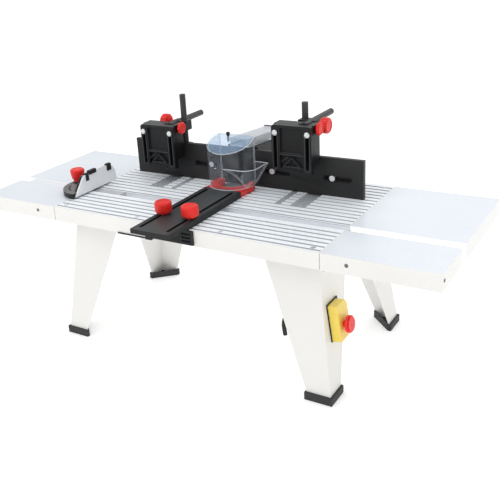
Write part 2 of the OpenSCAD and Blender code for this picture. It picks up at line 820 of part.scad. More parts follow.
module mitre_clips() {
    color("black") at_table() {
        clip(-77, 24, -70, 37.5);
        clip(-68, 33, -49, 40);
        clip(-19, 26, -8, 38.5);
    }
}

// small clip hooked over the edge of the mitre face
module clip(y0, z0, y1, z1) {
    difference() {
        span([face_x - 4.5, y0, z0], [face_x + 1.5, y1, z1]);
        sweep_x(mitre_outline, face_x - 3, face_x);
        sweep_x(mitre_web, face_x - 8, face_x - 3);
        span([face_x - 9, slot_y - 40, 0], [face_x - 3, slot_y + 36, 24]);
    }
}

module mitre_knob() {
    color("red") at_table() translate([pivot_x, slot_y, 12 + gap]) difference() {
        union() {
            cylinder(r = 9, h = 4);
            translate([0, 0, 3]) grip_knob(13.2, 20);
        }
        translate([0, 0, -1]) cylinder(r = 3 + slack, h = 20);
    }
}

table_top();
table_apron();
bit_ring();
top_screws();
wing_left();
wing_right();
wing_bolts();
leg_front_left();
leg_front_right();
leg_back_left();
leg_back_right();
foot_front_left();
foot_front_right();
foot_back_left();
foot_back_right();
leg_bolts();
switch_plate();
switch_box();
stop_button();
switch_cable();
arm_bracket();
arm_studs();
guard_arm();
arm_knob_left();
arm_knob_right();
guard_base();
guard_shield();
guard_thumbscrew();
fence_base();
fence_face_left();
fence_face_right();
face_bolts();
fence_studs();
fence_knob_left();
fence_knob_right();
dust_duct();
dust_port();
post_left();
post_right();
clamp_left();
clamp_right();
clamp_knob_left();
clamp_knob_right();
bar_left();
bar_right();
carrier_left();
carrier_right();
feather_left();
feather_right();
feather_bolts_left();
feather_bolts_right();
carrier_knob_left();
carrier_knob_right();
mitre_bar();
mitre_stud();
mitre_head();
mitre_face();
mitre_clips();
mitre_knob();
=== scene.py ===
import json
import math

import bmesh
import bpy
from mathutils import Matrix, Vector


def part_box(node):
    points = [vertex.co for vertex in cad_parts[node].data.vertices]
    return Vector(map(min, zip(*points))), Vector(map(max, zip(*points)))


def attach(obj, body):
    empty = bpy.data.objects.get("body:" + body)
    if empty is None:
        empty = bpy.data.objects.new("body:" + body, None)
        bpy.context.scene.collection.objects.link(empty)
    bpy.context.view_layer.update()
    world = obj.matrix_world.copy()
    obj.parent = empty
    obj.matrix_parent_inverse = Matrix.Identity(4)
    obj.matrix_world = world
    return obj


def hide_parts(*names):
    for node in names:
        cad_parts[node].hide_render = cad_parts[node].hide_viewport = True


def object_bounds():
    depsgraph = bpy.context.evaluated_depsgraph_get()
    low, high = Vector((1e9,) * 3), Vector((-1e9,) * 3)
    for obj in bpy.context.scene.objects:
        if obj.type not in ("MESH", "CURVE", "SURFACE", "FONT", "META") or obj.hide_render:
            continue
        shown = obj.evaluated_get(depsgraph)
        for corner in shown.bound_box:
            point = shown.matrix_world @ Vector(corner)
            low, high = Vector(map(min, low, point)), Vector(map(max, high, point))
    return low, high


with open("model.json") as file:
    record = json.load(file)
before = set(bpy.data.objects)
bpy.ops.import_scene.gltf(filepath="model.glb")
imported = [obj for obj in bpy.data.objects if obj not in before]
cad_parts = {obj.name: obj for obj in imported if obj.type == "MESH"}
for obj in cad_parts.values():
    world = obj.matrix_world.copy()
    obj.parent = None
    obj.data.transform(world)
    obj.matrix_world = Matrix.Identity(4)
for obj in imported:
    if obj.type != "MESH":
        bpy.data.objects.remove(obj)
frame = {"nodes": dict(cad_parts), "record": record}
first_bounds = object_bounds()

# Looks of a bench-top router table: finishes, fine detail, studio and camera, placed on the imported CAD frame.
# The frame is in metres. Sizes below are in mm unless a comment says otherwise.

MM = 0.001
TAU = 2 * math.pi
X, Y, Z = (1, 0, 0), (0, 1, 0), (0, 0, 1)
SIDES = (("left", -1), ("right", 1))
NODES = frame["nodes"]
SLOT_OF = {part["node"]: part["material_slot"] for part in frame["record"]["subparts"]}
TABLE_TOP_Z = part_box("table_top")[1].z
MITRE_SLOT_HALF_W = 9.65

# ------------------------------------------------------------------ node graph helpers

NOISE_SPAN = (0.3, 0.7)                                 # most values of a noise texture fall in here
MIX_FACTOR, MIX_A, MIX_B, MIX_RESULT = 0, 6, 7, 2       # sockets of the Mix node when it mixes colours
WHITE = (1, 1, 1, 1)


def node(tree, kind, inputs=None, **settings):
    """Adds a node, sets its options and fills its inputs by name."""
    made = tree.nodes.new(kind)
    for key, value in settings.items():
        setattr(made, key, value)
    for key, value in (inputs or {}).items():
        made.inputs[key].default_value = value
    return made


def empty_material(name):
    material = bpy.data.materials.new(name)
    material.use_nodes = True
    tree = material.node_tree
    tree.nodes.clear()
    return material, tree, node(tree, "ShaderNodeOutputMaterial")


def surface(name, inputs):
    """A material made of one Principled shader, returned with its graph for more detail."""
    material, tree, out = empty_material(name)
    shader = node(tree, "ShaderNodeBsdfPrincipled", inputs)
    tree.links.new(shader.outputs["BSDF"], out.inputs["Surface"])
    return material, tree, shader


def place(tree):
    return node(tree, "ShaderNodeTexCoord").outputs["Object"]


def geometry(tree, name):
    return node(tree, "ShaderNodeNewGeometry").outputs[name]


def component(tree, vector, letter):
    split = node(tree, "ShaderNodeSeparateXYZ")
    tree.links.new(vector, split.inputs["Vector"])
    return split.outputs[letter]


def noise(tree, scale, detail, stretch=(1, 1, 1)):
    """Noise texture in frame coordinates, optionally stretched along an axis."""
    mapping = node(tree, "ShaderNodeMapping", {"Scale": stretch})
    tree.links.new(place(tree), mapping.inputs["Vector"])
    texture = node(tree, "ShaderNodeTexNoise", {"Scale": scale, "Detail": detail})
    tree.links.new(mapping.outputs["Vector"], texture.inputs["Vector"])
    return texture.outputs["Fac"]


def ramp(tree, source, result, span=NOISE_SPAN):
    """Takes the values in span to those in result, level beyond both ends."""
    ranges = {"From Min": span[0], "From Max": span[1], "To Min": result[0], "To Max": result[1]}
    mapped = node(tree, "ShaderNodeMapRange", ranges)
    tree.links.new(source, mapped.inputs["Value"])
    return mapped.outputs["Result"]


def blend(tree, a, b, amount):
    """Mixes two colours, each a tuple or a socket."""
    mix = node(tree, "ShaderNodeMix", data_type="RGBA")
    for index, value in ((MIX_A, a), (MIX_B, b)):
        if isinstance(value, tuple):
            mix.inputs[index].default_value = (*value, 1)
        else:
            tree.links.new(value, mix.inputs[index])
    tree.links.new(amount, mix.inputs[MIX_FACTOR])
    return mix.outputs[MIX_RESULT]


def calculate(tree, operation, a, b=None, clamp=False):
    """One step of arithmetic. a is a socket, b a socket or a number."""
    step = node(tree, "ShaderNodeMath", operation=operation, use_clamp=clamp)
    tree.links.new(a, step.inputs[0])
    if isinstance(b, float):
        step.inputs[1].default_value = b
    elif b is not None:
        tree.links.new(b, step.inputs[1])
    return step.outputs["Value"]


def distance_from(tree, letter, middle):
    off = calculate(tree, "SUBTRACT", component(tree, place(tree), letter), middle)
    return calculate(tree, "ABSOLUTE", off)


def faces_up(tree, start=0.6, full=0.95):
    """1 on faces that look up, 0 on the sides."""
    return ramp(tree, component(tree, geometry(tree, "Normal"), "Z"), (0.0, 1.0), (start, full))


def sunk(tree, deep, shallow):
    """1 where a point is at least deep under the table surface, 0 from shallow upwards."""
    height = component(tree, place(tree), "Z")
    return ramp(tree, height, (1.0, 0.0), (TABLE_TOP_Z - deep * MM, TABLE_TOP_Z - shallow * MM))


def add_bump(tree, shader, source, strength, depth):
    """Depth is in metres."""
    bump = node(tree, "ShaderNodeBump", {"Strength": strength, "Distance": depth})
    tree.links.new(source, bump.inputs["Height"])
    tree.links.new(bump.outputs["Normal"], shader.inputs["Normal"])


# ------------------------------------------------------------------ finishes

EDGE_HIGHLIGHT_SPAN = (0.51, 0.60)                   # pointiness where the painted edge highlight starts to show, and where it is full
FINE_BUMP, COAT_BUMP, SOFT_BUMP = 0.0004, 0.0003, 0.0006       # bump heights, in metres


def solid(name, colour, rough=0.45, metal=0.0, vary=0.08, grain=900.0, bump=0.08, coat=0.0, edge=0.12,
          spec=0.5, stretch=(1, 1, 1), blotch=14.0):
    """Painted, moulded or metal surface: slow colour drift, fine grain in the bump, a painted highlight along
    the edges.
    """
    material, tree, shader = surface(name, {
        "Metallic": metal, "Specular IOR Level": spec, "Coat Weight": coat, "Coat Roughness": 0.12})
    dark = tuple(c * (1 - vary) for c in colour)
    light = tuple(min(1.0, c * (1 + vary) + 0.01 * vary) for c in colour)
    # painted highlight: sharp edges turn lighter by their pointiness, up to the edge amount
    edge_highlight = tuple(min(1.0, c * 0.6 + 0.38) for c in colour)
    drift = ramp(tree, noise(tree, blotch, 4.0), (0.0, 1.0))
    edges = ramp(tree, geometry(tree, "Pointiness"), (0.0, edge), EDGE_HIGHLIGHT_SPAN)
    base = blend(tree, blend(tree, dark, light, drift), edge_highlight, edges)
    tree.links.new(base, shader.inputs["Base Color"])
    fine = noise(tree, grain, 2.0, stretch)
    roughness = ramp(tree, fine, (max(0.02, rough - 0.1), min(1.0, rough + 0.1)))
    tree.links.new(roughness, shader.inputs["Roughness"])
    add_bump(tree, shader, fine, bump, FINE_BUMP)
    return material


def ribbed_top(name):
    """Bright planed ribs with a painted glow, painted shade on the groove floors, brush marks along the table.
    """
    material, tree, shader = surface(name, {"Metallic": 0.05, "Emission Color": (0.86, 0.93, 1.0, 1)})
    brush = noise(tree, 60.0, 5.0, (0.25, 14.0, 4.0))
    brushed = ramp(tree, brush, (0.0, 1.0))
    patches = ramp(tree, noise(tree, 5.0, 3.0), (0.0, 0.25), (0.45, 0.75))
    rib = blend(tree, (0.90, 0.94, 0.98), (0.97, 0.985, 1.0), brushed)
    rib = blend(tree, rib, (0.82, 0.86, 0.91), patches)
    # painted shade: the groove floors are a darker grey than the ribs
    groove_shade = blend(tree, (0.40, 0.43, 0.46), (0.54, 0.57, 0.60), brushed)
    groove = sunk(tree, 0.9, 0.15)
    base = blend(tree, rib, groove_shade, groove)
    base = blend(tree, base, (0.88, 0.90, 0.94), sunk(tree, 7.0, 6.1))
    upright = ramp(tree, component(tree, geometry(tree, "Normal"), "Z"), (1.0, 0.0), (0.1, 0.5))
    slot_wall = calculate(tree, "MULTIPLY", upright, sunk(tree, 1.6, 1.3))
    base = blend(tree, base, (0.84, 0.86, 0.90), slot_wall)
    tree.links.new(base, shader.inputs["Base Color"])
    # painted glow: the planed rib tops get a faint bluish emission that stands for the light of the sky, the
    # grooves get none
    painted_glow = ramp(tree, groove, (0.09, 0.0), (0.0, 1.0))
    tree.links.new(painted_glow, shader.inputs["Emission Strength"])
    tree.links.new(ramp(tree, brush, (0.32, 0.52)), shader.inputs["Roughness"])
    add_bump(tree, shader, brush, 0.12, COAT_BUMP)
    return material


def wing_paint(name):
    """Powder coat with a painted reflection: the flat top is a cooler, paler tint than the folded edges."""
    material, tree, shader = surface(name, {
        "Emission Color": WHITE, "Coat Weight": 0.25, "Coat Roughness": 0.1})
    up = faces_up(tree)
    drift = ramp(tree, noise(tree, 6.0, 4.0), (0.0, 1.0))
    side = blend(tree, (0.86, 0.85, 0.82), (0.90, 0.89, 0.86), drift)
    # painted reflection: faces that look up take this cooler, paler tint
    top = blend(tree, (0.80, 0.86, 0.93), (0.87, 0.92, 0.97), drift)
    base = blend(tree, side, top, up)
    # painted highlight: the trough floor of the mitre slot is near white
    trough_floor_highlight = calculate(tree, "MULTIPLY", sunk(tree, 7.0, 1.5), up)
    base = blend(tree, base, (0.97, 0.97, 0.97), trough_floor_highlight)
    tree.links.new(base, shader.inputs["Base Color"])
    # painted glow: the open trough of the mitre slot glows faintly, standing for the light from both of its
    # walls
    off_slot = distance_from(tree, "Y", centre("mitre_bar").y)
    trough_edge = ((MITRE_SLOT_HALF_W - 0.1) * MM, (MITRE_SLOT_HALF_W + 0.1) * MM)
    painted_glow = ramp(tree, off_slot, (0.22, 0.0), trough_edge)
    tree.links.new(painted_glow, shader.inputs["Emission Strength"])
    peel = noise(tree, 700.0, 2.0)
    tree.links.new(ramp(tree, peel, (0.22, 0.36)), shader.inputs["Roughness"])
    add_bump(tree, shader, peel, 0.05, COAT_BUMP)
    return material


def slot_bar(name):
    """Ground steel with a painted reflection of the white wing on its left half."""
    material = solid(name, (0.60, 0.61, 0.63), 0.3, metal=0.15, vary=0.05, grain=300, stretch=(0.05, 1, 1),
                     bump=0.05, edge=0.05)
    tree = material.node_tree
    colour = next(n for n in tree.nodes if n.type == "BSDF_PRINCIPLED").inputs["Base Color"]
    steel = colour.links[0].from_socket
    wing_side = (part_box("mitre_head")[0].x, centre("mitre_head").x)
    # painted reflection: the bar fades to pale leftwards from the middle of the gauge head
    wing_reflection = ramp(tree, component(tree, place(tree), "X"), (1.0, 0.0), wing_side)
    tree.links.new(blend(tree, steel, (0.90, 0.93, 0.97), wing_reflection), colour)
    return material


HAZE_AND_SHEEN = (0.80, 0.84, 0.88)


def clear(name, tint, roof_tint, body, roof_reflection_cover, haze_and_sheen=HAZE_AND_SHEEN, roof_reflection=HAZE_AND_SHEEN):
    """Thin clear moulding: mostly see-through, hazier on the roof as a painted reflection and at grazing angles
    as a painted sheen.
    """
    material, tree, out = empty_material(name)
    through = node(tree, "ShaderNodeBsdfTransparent")
    skin = node(tree, "ShaderNodeBsdfPrincipled", {"Roughness": 0.15})
    wave = noise(tree, 40.0, 3.0)
    add_bump(tree, skin, wave, 0.25, SOFT_BUMP)
    up = faces_up(tree, 0.5, 0.85)
    # painted reflection: faces that look up take the roof tint and the roof colour
    tree.links.new(blend(tree, tint, roof_tint, up), through.inputs["Color"])
    tree.links.new(blend(tree, haze_and_sheen, roof_reflection, up), skin.inputs["Base Color"])
    facing = node(tree, "ShaderNodeLayerWeight", {"Blend": 0.3}).outputs["Facing"]
    # painted sheen: the cover grows at grazing angles; painted reflection: more cover on the roof
    cover = ramp(tree, facing, (body, 0.5), (0.6, 1.0))
    cover = calculate(tree, "ADD", cover, ramp(tree, up, (0.0, roof_reflection_cover), (0.0, 1.0)), clamp=True)
    cover = calculate(tree, "ADD", cover, ramp(tree, wave, (0.0, 0.06), (0.4, 0.7)), clamp=True)
    mix = node(tree, "ShaderNodeMixShader")
    tree.links.new(cover, mix.inputs["Fac"])
    tree.links.new(through.outputs["BSDF"], mix.inputs[1])
    tree.links.new(skin.outputs["BSDF"], mix.inputs[2])
    tree.links.new(mix.outputs["Shader"], out.inputs["Surface"])
    return material


def lit_top_paint(name, side, top, rim=None, middle_x=0.0, half_width=0.0):
    """Dark paint with a painted highlight on its upper face. With a rim colour, the face's long edges get a
    weaker painted highlight.
    """
    material, tree, shader = surface(name, {"Specular IOR Level": 0.28})
    if rim:
        half_step = 0.5 * MM
        edge = ramp(tree, distance_from(tree, "X", middle_x), (0.0, 1.0),
                    (half_width - half_step, half_width + half_step))
        top = blend(tree, top, rim, edge)
    drift = node(tree, "ShaderNodeVectorMath", operation="SCALE")
    tree.links.new(blend(tree, side, top, faces_up(tree)), drift.inputs[0])
    tree.links.new(ramp(tree, noise(tree, 12.0, 4.0), (0.85, 1.15)), drift.inputs["Scale"])
    tree.links.new(drift.outputs["Vector"], shader.inputs["Base Color"])
    fine = noise(tree, 1200.0, 2.0)
    tree.links.new(ramp(tree, fine, (0.32, 0.50)), shader.inputs["Roughness"])
    add_bump(tree, shader, fine, 0.1, COAT_BUMP)
    return material


def centre(name):
    lo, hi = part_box(name)
    return (lo + hi) / 2


# one finish for each material slot of the record
FINISH = {
    "ribbed_aluminium": ribbed_top("ribbed aluminium"),
    "cream_paint": solid("cream powder coat", (0.875, 0.865, 0.835), 0.38, vary=0.03, grain=700, bump=0.06,
                         edge=0.05, coat=0.15, blotch=5),
    "pale_blue_paint": wing_paint("pale powder coat"),
    "grey_plastic": solid("grey moulding", (0.16, 0.165, 0.17), 0.5, vary=0.1),
    "bright_steel": solid("bright steel", (0.80, 0.80, 0.81), 0.22, metal=0.45, vary=0.05, bump=0.03,
                          edge=0.0),
    "rod_steel": solid("dark coated rod", (0.020, 0.020, 0.021), 0.42, metal=0.1, vary=0.15, grain=500,
                       stretch=(1, 1, 0.1), bump=0.06, edge=0.06),
    "black_plastic": solid("black moulding", (0.009, 0.010, 0.011), 0.45, vary=0.2, grain=1100, bump=0.12,
                           edge=0.03, spec=0.25),
    "black_steel": solid("satin black paint", (0.015, 0.015, 0.0155), 0.42, vary=0.15, grain=1300, bump=0.1,
                         edge=0.025, blotch=9, spec=0.28),
    "rubber": solid("black rubber", (0.012, 0.012, 0.013), 0.65, vary=0.2, grain=800, bump=0.15, edge=0.04),
    "yellow_plastic": solid("yellow moulding", (0.93, 0.69, 0.075), 0.33, vary=0.05, coat=0.2, edge=0.1,
                            bump=0.04),
    "red_plastic": solid("red moulding", (0.86, 0.024, 0.016), 0.30, vary=0.1, coat=0.05, edge=0.04,
                         bump=0.05, spec=0.3),
    # the bluish roof colour of the clear moulding is a painted reflection
    "clear_plastic": clear("clear moulding", (0.92, 0.94, 0.96), (0.93, 0.96, 0.99), 0.03, 0.22,
                           roof_reflection=(0.36, 0.52, 0.72)),
    "gauge_aluminium": solid("anodised aluminium", (0.93, 0.96, 1.0), 0.36, vary=0.06, grain=260,
                             stretch=(1, 0.05, 1), bump=0.05),
    "steel_bar": slot_bar("ground steel"),
}

ARM_RIM = 5
ARM_LO, ARM_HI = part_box("guard_arm")
# arm, blocks and gauge head: dark paint with a painted highlight on the upper faces
ARM_TOP = lit_top_paint("satin black arm", (0.012, 0.013, 0.015), (0.048, 0.052, 0.054), (0.02, 0.022, 0.024),
                   centre("guard_arm").x, (ARM_HI.x - ARM_LO.x) / 2 - ARM_RIM * MM)
BLOCK_TOP = lit_top_paint("black moulding, lit top", (0.009, 0.010, 0.011), (0.06, 0.062, 0.065))
HEAD_TOP = lit_top_paint("black gauge head", (0.012, 0.013, 0.014), (0.20, 0.205, 0.21))
# the duct's roof gets a grey painted reflection
DUCT_CLEAR = clear("clear duct", (0.86, 0.87, 0.88), (0.80, 0.82, 0.84), 0.4, 0.25, haze_and_sheen=(0.72, 0.73, 0.74))
# painted highlight: the ridges of the feather plates are a lighter black than the plate
LIT_RIDGES = solid("black moulding, ridges with painted highlight", (0.030, 0.032, 0.034), 0.4, vary=0.2, edge=0.03, spec=0.3)
# painted highlight: bright strips along the edges of the clear mouldings
EDGE_GLINT = solid("painted edge glint", (0.80, 0.82, 0.84), 0.2, bump=0.03, edge=0.0)
SEAM = solid("dark seam", (0.24, 0.23, 0.22), 0.7, vary=0.1, edge=0.0)

# ------------------------------------------------------------------ mesh helpers

WELD = 1e-6                       # metres: points closer than this are one point


def add_object(name, data):
    """Puts a mesh, light or camera in the scene."""
    made = bpy.data.objects.new(name, data)
    bpy.context.scene.collection.objects.link(made)
    return made


def mesh_from(name, bm):
    mesh = bpy.data.meshes.new(name)
    bm.to_mesh(mesh)
    bm.free()
    return mesh


def paint(ob, material):
    ob.data.materials.clear()
    ob.data.materials.append(material)


def shade(ob, angle):
    """Smooth shading that keeps edges sharper than angle, in degrees."""
    ob.data.polygons.foreach_set("use_smooth", [True] * len(ob.data.polygons))
    ob.data.set_sharp_from_angle(angle=math.radians(angle))
    ob.data.update()


def add_bevel(ob, width):
    bevel = ob.modifiers.new("soft edges", "BEVEL")
    bevel.width = width * MM
    bevel.segments = 2
    bevel.limit_method = "ANGLE"
    bevel.angle_limit = math.radians(35)


def finish_mesh(name, bm, slot_name, body, angle=40, material=None):
    """Turns a bmesh into a piece that rides on a CAD body."""
    bmesh.ops.recalc_face_normals(bm, faces=bm.faces)
    ob = add_object(name, mesh_from(name, bm))
    shade(ob, angle)
    paint(ob, material or FINISH[slot_name])
    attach(ob, body)
    return ob


def add_box(bm, lo, hi):
    """Adds a box given by two corners, in metres."""
    lo, hi = Vector(lo), Vector(hi)
    matrix = Matrix.Translation((lo + hi) / 2) @ Matrix.Diagonal((*(hi - lo), 1))
    bmesh.ops.create_cube(bm, size=1.0, matrix=matrix)


def frame_matrix(origin, axis):
    """Matrix that takes local Z to axis, at origin."""
    z = Vector(axis).normalized()
    x = Vector(X) if abs(z.x) < 0.9 else Vector(Y)
    y = z.cross(x).normalized()
    x = y.cross(z).normalized()
    matrix = Matrix((x, y, z)).transposed().to_4x4()
    matrix.translation = Vector(origin)
    return matrix


def add_loop(bm, outline, matrix, height):
    return [bm.verts.new(matrix @ Vector((x * MM, y * MM, height * MM))) for x, y in outline]


def join_loops(bm, a, b):
    """Walls between two closed loops with equally many points."""
    for i in range(len(a)):
        j = (i + 1) % len(a)
        bm.faces.new((a[i], a[j], b[j], b[i]))


def add_prism(bm, outline, matrix, depth):
    """Extrudes a 2-D outline along local Z."""
    low, high = add_loop(bm, outline, matrix, 0), add_loop(bm, outline, matrix, depth)
    bm.faces.new(low[::-1])
    bm.faces.new(high)
    join_loops(bm, low, high)


def add_ring(bm, outer, inner, matrix, depth):
    """Extrudes the band between two outlines with equally many points."""
    keep = [i for i in range(len(outer)) if (Vector(outer[i]) - Vector(outer[i - 1])).length > WELD]
    corners = ((outer, 0), (outer, depth), (inner, depth), (inner, 0))
    loops = [add_loop(bm, [line[i] for i in keep], matrix, height) for line, height in corners]
    for a, b in zip(loops, loops[1:] + loops[:1]):
        join_loops(bm, a, b)


def circle(radius, steps, shape=None):
    """Points on a circle. shape(angle) scales the radius."""
    angles = [TAU * k / steps for k in range(steps)]
    radii = [radius * (shape(a) if shape else 1.0) for a in angles]
    return [(r * math.cos(a), r * math.sin(a)) for r, a in zip(radii, angles)]


def add_lathe(bm, profile, matrix, steps, shape=None):
    """Revolves (radius, height) pairs about local Z. shape(angle, index) scales the radius of one pair.

    A last pair of radius 0 closes that end with a point; the first end gets a flat face."""
    rings = []
    for index, (radius, height) in enumerate(profile):
        if radius == 0:
            rings.append(add_loop(bm, [(0, 0)], matrix, height))
        else:
            here = (lambda a, index=index: shape(a, index)) if shape else None
            rings.append(add_loop(bm, circle(radius, steps, here), matrix, height))
    for a, b in zip(rings, rings[1:]):
        if len(b) > 1:
            join_loops(bm, a, b)
        else:
            for k in range(steps):
                bm.faces.new((a[k], a[(k + 1) % steps], b[0]))
    bm.faces.new(rings[0][::-1])


def cut(ob, cutter_bm):
    """Takes the cutter's volume out of a piece, for good."""
    bmesh.ops.recalc_face_normals(cutter_bm, faces=cutter_bm.faces)
    tool = add_object("cutter", mesh_from("cutter", cutter_bm))
    boolean = ob.modifiers.new("cut", "BOOLEAN")
    boolean.operation = "DIFFERENCE"
    boolean.solver = "EXACT"
    boolean.object = tool
    result = bpy.data.meshes.new_from_object(ob.evaluated_get(bpy.context.evaluated_depsgraph_get()))
    ob.modifiers.remove(boolean)
    whole, tool_mesh = ob.data, tool.data
    ob.data = result
    bpy.data.objects.remove(tool)
    for mesh in (whole, tool_mesh):
        bpy.data.meshes.remove(mesh)


# ------------------------------------------------------------------ CAD nodes that keep their shape

BEVELS = {
    "table_apron": 0.6, "wing_left": 1.0, "wing_right": 1.0, "table_top": 0.25,
    "fence_base": 0.6, "fence_face_left": 0.5, "fence_face_right": 0.5,
    "guard_arm": 1.0, "arm_bracket": 1.0, "guard_base": 1.0, "dust_duct": 0.6, "dust_port": 0.8,
    "clamp_left": 1.5, "clamp_right": 1.5, "carrier_left": 2.5, "carrier_right": 2.5,
    "post_left": 0.8, "post_right": 0.8, "bar_left": 0.8, "bar_right": 0.8,
    "switch_plate": 1.0, "mitre_head": 1.0, "mitre_face": 0.4, "mitre_clips": 0.6, "mitre_bar": 0.4,
}
BEVELS |= {f"leg_{end}_{side}": 0.7 for end in ("front", "back") for side, _ in SIDES}
BEVELS |= {f"foot_{end}_{side}": 1.2 for end in ("front", "back") for side, _ in SIDES}

OWN_FINISH = {
    "guard_arm": ARM_TOP, "mitre_head": HEAD_TOP, "dust_duct": DUCT_CLEAR,
    "carrier_left": BLOCK_TOP, "carrier_right": BLOCK_TOP, "clamp_left": BLOCK_TOP, "clamp_right": BLOCK_TOP,
}

for name, ob in NODES.items():
    paint(ob, OWN_FINISH.get(name) or FINISH[SLOT_OF[name]])
    shade(ob, 35)
    if name in BEVELS:
        add_bevel(ob, BEVELS[name])

# ------------------------------------------------------------------ painted glints along the edges of the clear mouldings

EDGE_R = 0.3
EDGE_SIDES = 5
SHARP = math.radians(32)
SHORTEST = 1e-5                   # metres


def edge_glints(name, source, body):
    """Thin bright strips along the sharp edges of a clear moulding: a painted glint."""
    shape = bmesh.new()
    shape.from_mesh(NODES[source].data)
    bmesh.ops.remove_doubles(shape, verts=shape.verts, dist=WELD)
    bmesh.ops.dissolve_limit(shape, angle_limit=math.radians(1), verts=shape.verts, edges=shape.edges)
    bm = bmesh.new()
    for edge in shape.edges:
        start, along = edge.verts[0].co, edge.verts[1].co - edge.verts[0].co
        smooth = len(edge.link_faces) == 2 and edge.calc_face_angle(0) < SHARP
        if not smooth and along.length >= SHORTEST:
            add_prism(bm, circle(EDGE_R, EDGE_SIDES), frame_matrix(start, along), along.length / MM)
    shape.free()
    finish_mesh(name, bm, SLOT_OF[source], body, material=EDGE_GLINT)


edge_glints("guard_shield_edge_glints", "guard_shield", "guard")
edge_glints("dust_duct_edge_glints", "dust_duct", "fence")

# ------------------------------------------------------------------ knobs

STEM_R = 3.0
SHORTEST_STEM = 0.5
STEPS_PER_FLUTE = 8


def knob(node_name, axis, radius, height, flutes=14, collar=8.0, collar_h=3.0, lobe=0.09, taper=1.0):
    """Moulded grip: a stem where the CAD knob is longer, a round collar, a fluted grip and a dished cap."""
    lo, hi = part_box(node_name)
    axis = Vector(axis)
    full = abs((hi - lo).dot(axis)) / MM
    stem = full - height
    # pairs of radius and height: stem, collar, grip up to its rim, dished cap
    profile = [(STEM_R, -stem), (STEM_R, 0)] if stem > SHORTEST_STEM else []
    profile += [(collar * 0.9, 0), (collar, 0.5), (collar, collar_h)]
    grip_first = len(profile) + 1
    profile += [(radius * 0.80 * taper, collar_h + 0.2), (radius * 0.94 * taper, collar_h + 1.0)]
    profile += [(radius * taper, collar_h + 2.6), (radius, height - 4.0), (radius * 0.985, height - 2.4)]
    profile += [(radius * 0.93, height - 1.0), (radius * 0.84, height - 0.25), (radius * 0.78, height)]
    profile += [(radius * 0.62, height - 0.15), (radius * 0.58, height - 0.8), (radius * 0.3, height - 0.7)]
    profile += [(0, height - 0.65)]
    grip_last = grip_first + 4

    def flute(angle, index):
        if not grip_first <= index <= grip_last:
            return 1.0
        depth = lobe / 2 if index == grip_last else lobe
        return 1 - depth * (0.5 + 0.5 * math.cos(angle * flutes)) ** 2

    bm = bmesh.new()
    start = (lo + hi) / 2 + axis * (full / 2 - height) * MM
    add_lathe(bm, profile, frame_matrix(start, axis), flutes * STEPS_PER_FLUTE, flute)
    ob = finish_mesh(f"{node_name}_grip", bm, "red_plastic", node_name, angle=50)
    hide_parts(node_name)


for side, sign in SIDES:
    knob(f"arm_knob_{side}", Z, 14, 21, flutes=18, lobe=0.03)
    knob(f"clamp_knob_{side}", (sign, 0, 0), 13.3, 17, flutes=9, lobe=0.07)
    knob(f"carrier_knob_{side}", X, 11, 8.5, flutes=9, collar=6, collar_h=2, lobe=0.07)
    knob(f"fence_knob_{side}", Z, 14.6, 22.7)
knob("mitre_knob", Z, 13.2, 23, flutes=18, collar=9, collar_h=4, lobe=0.03, taper=0.86)

# ------------------------------------------------------------------ feather plates

CORNER_R = 5
PLATE_SLOT_X = 29                 # from the middle of the plate
PLATE_SLOT_TOP, PLATE_SLOT_FOOT = -12, 14       # from the top edge down, and from the foot up
PLATE_SLOT_R, RIM_IN_R, RIM_OUT_R, RIM_T = 2.9, 3.5, 5.2, 1.0
FOOT_RISE = 8                     # the foot slants up by this much to the left
LEFT_CUT, RIGHT_CUT = 5, 6        # cut corners at both ends of the foot
POCKET = [(-20, -46), (20, -46), (20, -5), (-20, -5)]
LOW_POCKET_X, LOW_POCKET_TOP = 21, -50
LOW_POCKET_LEFT, LOW_POCKET_RIGHT = 11, 6       # lower corners, above the foot
POCKET_DEPTH, LOW_POCKET_DEPTH = 4, 6
THROUGH = 8                       # long enough to leave through the front
SHELF = [(-22, -49), (22, -49), (22, -47.4), (-22, -47.4)]
SHELF_T = 1.6
BRACES = (((0, -54), (-14, -68)), ((0, -54), (14, -68)), ((-16, -69), (16, -69)), ((-5, -52), (-20, -62)))
BRACE_W, BRACE_H = 1.3, 6.0
RIB_COUNT, RIB_FIRST, RIB_STEP = 9, -22, 5
RIB_RUN, RIB_SLOPE, RIB_W, RIB_H = 8, 0.9, 1.4, 5.2
RIB_REACH = 20.5                  # ribs end here, off the middle
RIB_SHORTEST = 2
FLOOR_SINK = 6.5                  # braces and ribs start just inside the floor of the low pocket


def arc(radius, start, end, steps, middle=(0, 0)):
    """Points on an arc, with its angles in degrees."""
    angles = [math.radians(start + (end - start) * k / steps) for k in range(steps + 1)]
    return [(middle[0] + radius * math.cos(a), middle[1] + radius * math.sin(a)) for a in angles]


def upright_slot(x, foot, top, radius):
    return arc(radius, 0, 180, 12, (x, top)) + arc(radius, 180, 360, 12, (x, foot))


def strip(x0, y0, x1, y1, width):
    """Outline of a straight strip between two points."""
    along = Vector((x1 - x0, y1 - y0)).normalized() * width / 2
    nx, ny = -along.y, along.x
    return [(x0 + nx, y0 + ny), (x0 - nx, y0 - ny), (x1 - nx, y1 - ny), (x1 + nx, y1 + ny)]


